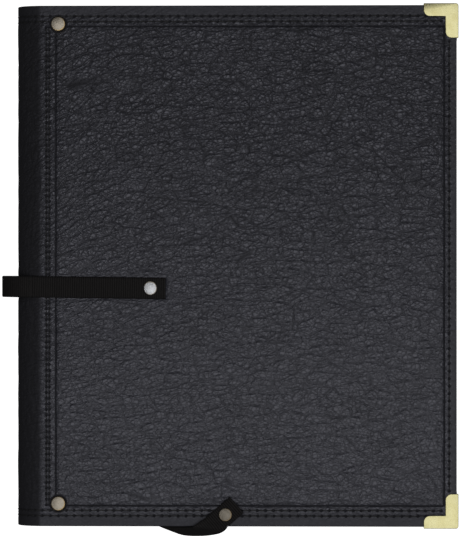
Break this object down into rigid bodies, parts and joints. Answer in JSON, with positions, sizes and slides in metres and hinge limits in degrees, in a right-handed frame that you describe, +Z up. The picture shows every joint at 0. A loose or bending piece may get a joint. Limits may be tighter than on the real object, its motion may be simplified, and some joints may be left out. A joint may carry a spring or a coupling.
{
  "type": "scrapbook album",
  "caption": "Black leather ring-binder scrapbook album with brass corners, riveted hinge, webbing hand strap on the spine and a snap closing strap.",
  "frame": {"origin": "middle of the underside of the closed album's bounding box, the album lying on its back cover", "axes": "+X from the spine to the fore-edge, +Y to the head of the cover, +Z up through the front cover"},
  "size_m": [0.2684, 0.3114, 0.0336],
  "materials": {
    "leather": "black pebbled leather, satin",
    "lining": "black book cloth, matt",
    "board": "grey-brown binder board",
    "pocket": "black book cloth, matt",
    "webbing": "black ribbed webbing",
    "corner_brass": "pale brass plate, bright, worn at the edges",
    "rivet_nickel": "nickel plate worn to brass at the rim",
    "snap_nickel": "bright nickel plate",
    "ring_steel": "nickel-plated spring steel",
    "page": "ivory card in a clear sleeve"
  },
  "bodies": {
    "back_cover": {"back_leather": "leather", "back_board": "board", "back_lining": "lining", "back_corner_head": "corner_brass", "back_corner_tail": "corner_brass", "back_hinge_rivets": "rivet_nickel", "hand_strap_back_end": "webbing", "hand_strap_back_rivet": "snap_nickel", "closing_strap_base": "webbing", "closing_strap_rivet": "rivet_nickel", "ring_housing": "ring_steel", "housing_rivets": "ring_steel", "page_06": "page", "page_07": "page", "page_08": "page", "page_09": "page", "page_10": "page"},
    "spine_lower": {"spine_lower_strip": "leather"},
    "spine_middle": {"spine_middle_strip": "leather", "hand_strap_loop": "webbing"},
    "spine_upper": {"spine_upper_strip": "leather"},
    "front_cover": {"front_leather": "leather", "front_board": "board", "front_lining": "lining", "front_pocket": "pocket", "front_corner_head": "corner_brass", "front_corner_tail": "corner_brass", "front_hinge_rivets": "rivet_nickel", "hand_strap_front_end": "webbing", "hand_strap_front_rivet": "snap_nickel", "snap_stud": "snap_nickel"},
    "closing_strap": {"closing_strap_tail": "webbing", "snap_cap": "rivet_nickel"},
    "right_rings": {"toggle_plate_right": "ring_steel", "rings_right": "ring_steel"},
    "left_rings": {"toggle_plate_left": "ring_steel", "rings_left": "ring_steel"},
    "page_01": {"page_01": "page"},
    "page_02": {"page_02": "page"},
    "page_03": {"page_03": "page"},
    "page_04": {"page_04": "page"},
    "page_05": {"page_05": "page"}
  },
  "joints": [
    {"name": "spine_fold_back", "type": "hinge", "parent": "back_cover", "child": "spine_lower", "pos_m": [-0.11609, 0.0022, 0.00295], "axis": [0, -1, 0], "range_deg": [0, 45]},
    {"name": "spine_fold_lower", "type": "hinge", "parent": "spine_lower", "child": "spine_middle", "pos_m": [-0.12385, 0.0022, 0.01071], "axis": [0, -1, 0], "range_deg": [0, 45], "deforming": ["hand_strap_loop"]},
    {"name": "spine_fold_upper", "type": "hinge", "parent": "spine_middle", "child": "spine_upper", "pos_m": [-0.12385, 0.0022, 0.02169], "axis": [0, -1, 0], "range_deg": [0, 45]},
    {"name": "front_cover_fold", "type": "hinge", "parent": "spine_upper", "child": "front_cover", "pos_m": [-0.11609, 0.0022, 0.02945], "axis": [0, -1, 0], "range_deg": [0, 45]},
    {"name": "closing_strap_lift", "type": "hinge", "parent": "back_cover", "child": "closing_strap", "pos_m": [-0.02599, -0.1557, 0.01682], "axis": [1, 0, 0], "range_deg": [0, 150], "deforming": ["closing_strap_tail"]},
    {"name": "ring_opening", "type": "hinge", "parent": "back_cover", "child": "right_rings", "pos_m": [-0.0863, 0.0022, 0.008], "axis": [0, 1, 0], "range_deg": [0, 7]},
    {"name": "left_ring_opening", "type": "hinge", "parent": "back_cover", "child": "left_rings", "pos_m": [-0.0963, 0.0022, 0.008], "axis": [0, 1, 0], "range_deg": [-7, 0]},
    {"name": "album_opening", "type": "hinge", "parent": "back_cover", "child": "page_01", "pos_m": [-0.0913, 0.0022, 0.0162], "axis": [0, -1, 0], "range_deg": [0, 180]},
    {"name": "page_02_turning", "type": "hinge", "parent": "back_cover", "child": "page_02", "pos_m": [-0.0913, 0.0022, 0.0162], "axis": [0, -1, 0], "range_deg": [0, 180]},
    {"name": "page_03_turning", "type": "hinge", "parent": "back_cover", "child": "page_03", "pos_m": [-0.0913, 0.0022, 0.0162], "axis": [0, -1, 0], "range_deg": [0, 180]},
    {"name": "page_04_turning", "type": "hinge", "parent": "back_cover", "child": "page_04", "pos_m": [-0.0913, 0.0022, 0.0162], "axis": [0, -1, 0], "range_deg": [0, 180]},
    {"name": "page_05_turning", "type": "hinge", "parent": "back_cover", "child": "page_05", "pos_m": [-0.0913, 0.0022, 0.0162], "axis": [0, -1, 0], "range_deg": [0, 180]}
  ],
  "couplings": [
    {"joint": "spine_fold_back", "follows": "album_opening", "ratio": 0.25},
    {"joint": "spine_fold_lower", "follows": "album_opening", "ratio": 0.25},
    {"joint": "spine_fold_upper", "follows": "album_opening", "ratio": 0.25},
    {"joint": "front_cover_fold", "follows": "album_opening", "ratio": 0.25},
    {"joint": "closing_strap_lift", "follows": "album_opening", "ratio": 0.8333},
    {"joint": "left_ring_opening", "follows": "ring_opening", "ratio": -1},
    {"joint": "page_02_turning", "follows": "album_opening", "ratio": 1},
    {"joint": "page_03_turning", "follows": "album_opening", "ratio": 1},
    {"joint": "page_04_turning", "follows": "album_opening", "ratio": 1},
    {"joint": "page_05_turning", "follows": "album_opening", "ratio": 1}
  ]
}
